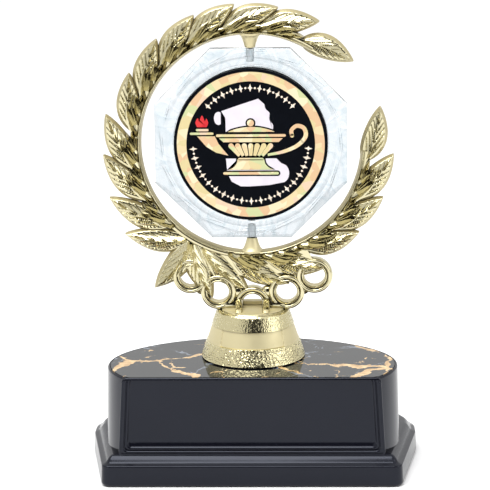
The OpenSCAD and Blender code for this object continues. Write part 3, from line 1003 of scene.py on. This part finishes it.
def smooth_line(knots, steps=8):
    """Catmull-Rom line through the knots."""
    knots = [np.array(k, float) for k in knots]
    padded = [2 * knots[0] - knots[1]] + knots + [2 * knots[-1] - knots[-2]]
    line = []
    for i in range(1, len(padded) - 2):
        a, b, c, d = padded[i - 1:i + 3]
        for k in range(steps):
            t = k / steps
            line.append(0.5 * (2 * b + (c - a) * t + (2 * a - 5 * b + 4 * c - d) * t ** 2
                               + (3 * b - a - 3 * c + d) * t ** 3))
    line.append(knots[-1])
    return line


def petal(foot, head, width):
    """Rounded flute that narrows towards its foot."""
    foot, head = np.array(foot, float), np.array(head, float)
    run = (head - foot) / np.linalg.norm(head - foot)
    side = np.array([-run[1], run[0]])
    turn = math.degrees(math.atan2(run[1], run[0]))
    top = arc(tuple(head - run * width / 2), width / 2, turn - 90, turn + 90, 8)
    return top + [tuple(foot + side * width * 0.28), tuple(foot - side * width * 0.28)]


def lamp_shapes():
    """Own plain drawing of an oil lamp, as (x, z) outlines in millimetres."""
    shapes = [bar(-18.0, -13.8, 5.0), bar(-20.0, -12.2, 3.8), bar(-11.4, 11.6, 3.1, 0.9)]
    shapes.append(arc((0.2, -13.2), 19.2, 66, 114, 16))
    shapes.append(arc((0, 7.3), 1.15, 0, 345, 20))
    shapes.append([(-17.6, 2.9), (-14.6, -0.6), (-11.4, -2.6), (-7.4, -3.6), (-9.2, -1.4), (-10.6, 0.4),
                   (-11.8, 2.9)][::-1])
    shapes.append([(-10.4, 2.2), (-9.0, 0.9), (9.2, 0.9), (10.6, 2.2)])
    for k in range(-3, 4):
        shapes.append(petal((1.25 * k, -3.7), (2.35 * k, 0.5 - 0.02 * k * k), 1.75))
    shapes.append(bar(-4.2, 4.2, -4.8))
    shapes.append(arc((-8.6, -4.9), (4.2, 3.6), 0, -75, 8) + arc((8.6, -4.9), (4.2, 3.6), 255, 180, 8))
    shapes.append(bar(-9.2, 9.2, -9.6, 0.9))
    return shapes


def handle_shapes(spare):
    """Hooked handle of the lamp, wider by the spare margin."""
    line = smooth_line([(5.6, -3.4), (10.5, -2.4), (15.2, -0.4), (18.0, 2.6), (17.6, 5.4), (15.3, 6.3),
                        (13.5, 4.9), (13.6, 3.0)])
    return ribbon(line, [w + 2 * spare for w in (0.8, 1.2, 1.4, 1.4, 1.3, 1.3)])


def sheet_shapes():
    """Pale sheet behind the lamp with a rolled end above and below."""
    upper = [(-8.2, 4.4), (-8.2, 9.0), (-9.6, 11.3)] + smooth_line([(-3.5, 13.4), (2.6, 15.4)], 3)
    upper += smooth_line([(4.6, 13.6), (5.0, 12.0), (6.3, 10.6), (6.2, 8.4), (7.4, 6.6), (7.2, 4.4)], 4)
    roll = arc((-10.5, 8.9), (1.5, 2.2), 60, 300, 14)
    lower = [(8.4, -4.6), (10.4, -6.4)] + arc((10.2, -9.6), (2.4, 3.2), 90, -70, 10)
    lower += smooth_line([(6.0, -13.6), (0.0, -14.0), (-3.4, -14.0)], 4)
    lower += [(-6.4, -12.4), (-7.8, -9.6), (-8.2, -4.6)]
    return [[tuple(p) for p in upper][::-1], roll, [tuple(p) for p in lower][::-1]]


def flame_shape():
    """Plain three-lobed flame."""
    knots = [(-17.6, 6.0), (-18.1, 7.6), (-17.3, 9.0), (-16.9, 8.0), (-15.9, 9.9), (-15.0, 8.0),
             (-14.5, 8.9), (-13.9, 7.4), (-14.4, 6.0)]
    return [tuple(p) for p in smooth_line(knots, 5)][::-1]


def lozenge(angle, radius, height, width):
    """Diamond with slightly hollow sides, pointing along the radius."""
    c, s = math.cos(math.radians(angle)), math.sin(math.radians(angle))
    dr, dt = 0.1 * height, 0.2 * width
    local = [(height / 2, 0), (dr, dt), (0, width / 2), (-dr, dt), (-height / 2, 0), (-dr, -dt),
             (0, -width / 2), (dr, -dt)]
    return [((radius + r) * c - t * s, (radius + r) * s + t * c) for r, t in local]


def ornament_shapes():
    """Plain lozenges and dots along the two arcs of the border."""
    shapes = []
    for middle, spread, count in ((90, 47, 11), (270, 86, 19)):
        step = 2 * spread / (count - 1)
        for k in range(count):
            angle = middle - spread + step * k
            shapes.append(lozenge(angle, BORDER_R, 2.7, 1.7))
            if k < count - 1:
                shapes.append(arc(polar(angle + step / 2, BORDER_R), 0.36, 0, 324, 9))
    return shapes


def grown(outline, distance):
    """Outline moved outwards, whichever way round it runs."""
    points = np.asarray(outline, float)
    x, z = points[:, 0], points[:, 1]
    area = float(np.sum(x * np.roll(z, -1) - np.roll(x, -1) * z))
    out = []
    for point, n1, n2 in corner_normals(points):
        size = max(np.linalg.norm(n1 + n2), 0.5)
        move = -math.copysign(distance, area) * (n1 + n2) / size
        out.append(tuple(point + move * min(2 / size, 1.6)))
    return out


def flat_plate(shape, outline, low, high):
    """Thin printed layer: outline of (x, z) points between two depths."""
    build = bmesh.new()
    verts = [build.verts.new((x, 0, z)) for x, z in outline]
    build.faces.new(verts)
    bmesh.ops.triangulate(build, faces=build.faces[:], ngon_method="EAR_CLIP")
    build.verts.index_update()
    n = len(outline)
    triangles = [[v.index for v in f.verts] for f in build.faces]
    build.free()
    points = [[x, low, z] for x, z in outline] + [[x, high, z] for x, z in outline]
    faces = triangles + [[i + n for i in t][::-1] for t in triangles]
    faces += [[i, (i + 1) % n, n + (i + 1) % n, n + i] for i in range(n)]
    shape.add(points, faces)


def disc_print(name, side):
    """Printed layers of one insert, each a little proud of the last; side is -1 for the front."""

    def layer(kind, material, verts, faces, replaces=()):
        verts = np.asarray(verts)
        verts[:, 0] *= -side
        verts[:, 1] = side * (INSERT_FACE + verts[:, 1])
        make_piece(f"{name}_{kind}", verts, faces, SPINNER, material, 30, replaces,
                   WREATH)

    def plates(kind, material, outlines, low, high):
        shape = Shape()
        for outline in outlines:
            flat_plate(shape, outline, low, high)
        layer(kind, material, shape.verts, shape.faces)

    field = [(0, -0.75), (INSERT_R, -0.75), (INSERT_R, -0.03), (INSERT_R - 0.05, 0), (0, 0)]
    layer("disc", INK_BLACK, *revolve(field, 160, "y"), [f"{name}_insert"])
    foil_ring = [(FOIL_IN, -0.02), (FOIL_OUT, -0.02), (FOIL_OUT, 0.03), (FOIL_IN, 0.03)]
    layer("foil_ring", FOIL, *revolve(foil_ring, 160, "y"))
    lamp = lamp_shapes()
    plates("sheet", INK_PALE, sheet_shapes(), -0.02, 0.02)
    outlines = [grown(o, OUTLINE_W) for o in lamp] + handle_shapes(OUTLINE_W)
    plates("outline", INK_BLACK, outlines, -0.02, 0.035)
    plates("lamp", FOIL, lamp + handle_shapes(0), -0.02, 0.05)
    plates("flame", INK_RED, [flame_shape()], -0.02, 0.05)
    plates("ornaments", INK_CREAM, ornament_shapes(), -0.02, 0.04)


def materials_for_cad():
    """Procedural materials for the CAD nodes that stay."""
    looks = {"marble_top": MARBLE, "felt_pad": felt_material(), "base_weight": plaster_material()}
    zinc = zinc_material()
    for node in ("threaded_rod", "flat_washer", "spring_washer", "hex_nut", "captive_nut"):
        looks[node] = zinc
    for node, material in looks.items():
        piece = frame["nodes"][node]
        piece.data.materials.clear()
        piece.data.materials.append(material)


# ---- stage

def floor_material():
    """Pale matt paper."""
    made = new_material("pale_floor")
    grey = made.noise(made.place(), 3.0)
    made.colour(made.grey_ramp(grey, [(0.3, 0.99 * 0.93), (0.7, 0.93)]))
    made.set(Roughness=0.9)
    return made.material


def stage_floor():
    """Wide floor under the trophy."""
    size = 3.0
    mesh = bpy.data.meshes.new("floor")
    mesh.from_pydata([(-size, -size, 0), (size, -size, 0), (size, size, 0), (-size, size, 0)], [],
                     [(0, 1, 2, 3)])
    mesh.materials.append(floor_material())
    floor = bpy.data.objects.new("floor", mesh)
    bpy.context.scene.collection.objects.link(floor)


def area_light(name, place, target, size, power):
    """Rectangular softbox aimed at a point."""
    lamp = bpy.data.lights.new(name, "AREA")
    lamp.shape = "RECTANGLE"
    lamp.size, lamp.size_y = size
    lamp.energy = power
    rig = bpy.data.objects.new(name, lamp)
    rig.location = place
    rig.rotation_euler = (Vector(target) - Vector(place)).to_track_quat("-Z", "Y").to_euler()
    bpy.context.scene.collection.objects.link(rig)


def studio_light():
    """White tent, open and dark round the camera, with a softbox above and one to the right."""
    world = bpy.data.worlds.new("studio")
    bpy.context.scene.world = world
    made = Nodes(world, "Background")
    split = made.node("ShaderNodeSeparateXYZ")
    made.link(made.node("ShaderNodeTexCoord").outputs["Generated"], split.inputs[0])
    front = made.maths("MULTIPLY", split.outputs["Y"], -1.0)
    turn = made.maths("SUBTRACT", made.maths("ARCTAN2", split.outputs["X"], front), 0.12)
    share = made.maths("DIVIDE", made.maths("ABSOLUTE", turn), math.pi)
    tent = made.grey_ramp(share, [(0.0, 0.03), (0.12, 0.04), (0.17, 0.95), (0.5, 1.0), (1.0, 1.0)])
    high = made.span(split.outputs["Z"], 0.58, 0.72)
    made.link(made.mix(high, tent, (1.1, 1.1, 1.1)), made.shader.inputs["Color"])
    centre = (0, 0, 0.08)
    area_light("key", (-0.2, -0.30, 0.85), centre, (0.8, 0.5), 8.0)
    area_light("fill", (0.75, -0.35, 0.45), centre, (0.4, 0.6), 1.4)
    bpy.context.scene.view_settings.view_transform = "Standard"


def camera():
    """Long lens, 14 degrees above the level and 2 degrees to the right, rolled a little."""
    distance, azimuth, elevation, roll = 0.90, math.radians(2), math.radians(14), math.radians(0.7)
    target = Vector((-0.0023, 0, 0.0750))
    back = Vector((math.sin(azimuth) * math.cos(elevation), -math.cos(azimuth) * math.cos(elevation),
                   math.sin(elevation)))
    data = bpy.data.cameras.new("camera")
    data.sensor_width = 36
    data.lens = 36 * distance / 0.1628
    data.clip_start = 0.01
    rig = bpy.data.objects.new("camera", data)
    rig.location = target + back * distance
    turn = (-back).to_track_quat("-Z", "Y").to_matrix().to_4x4()
    spin = Matrix.Rotation(-roll, 4, "Z")
    rig.rotation_euler = (turn @ spin).to_euler()
    bpy.context.scene.collection.objects.link(rig)
    bpy.context.scene.camera = rig


base_body()
riser_piece()
ring_row()
wreath_stem()
branch("left_leaves", LEFT_TIPS, -1, "left_branch")
branch("right_leaves", RIGHT_TIPS, 1, "right_branch")
pivot("lower_cone", "lower_pivot", 1)
pivot("upper_cone", "upper_pivot", -1)
spinner_piece()
socket_tubes()
disc_print("front", -1)
disc_print("back", 1)
materials_for_cad()
stage_floor()
studio_light()
camera()
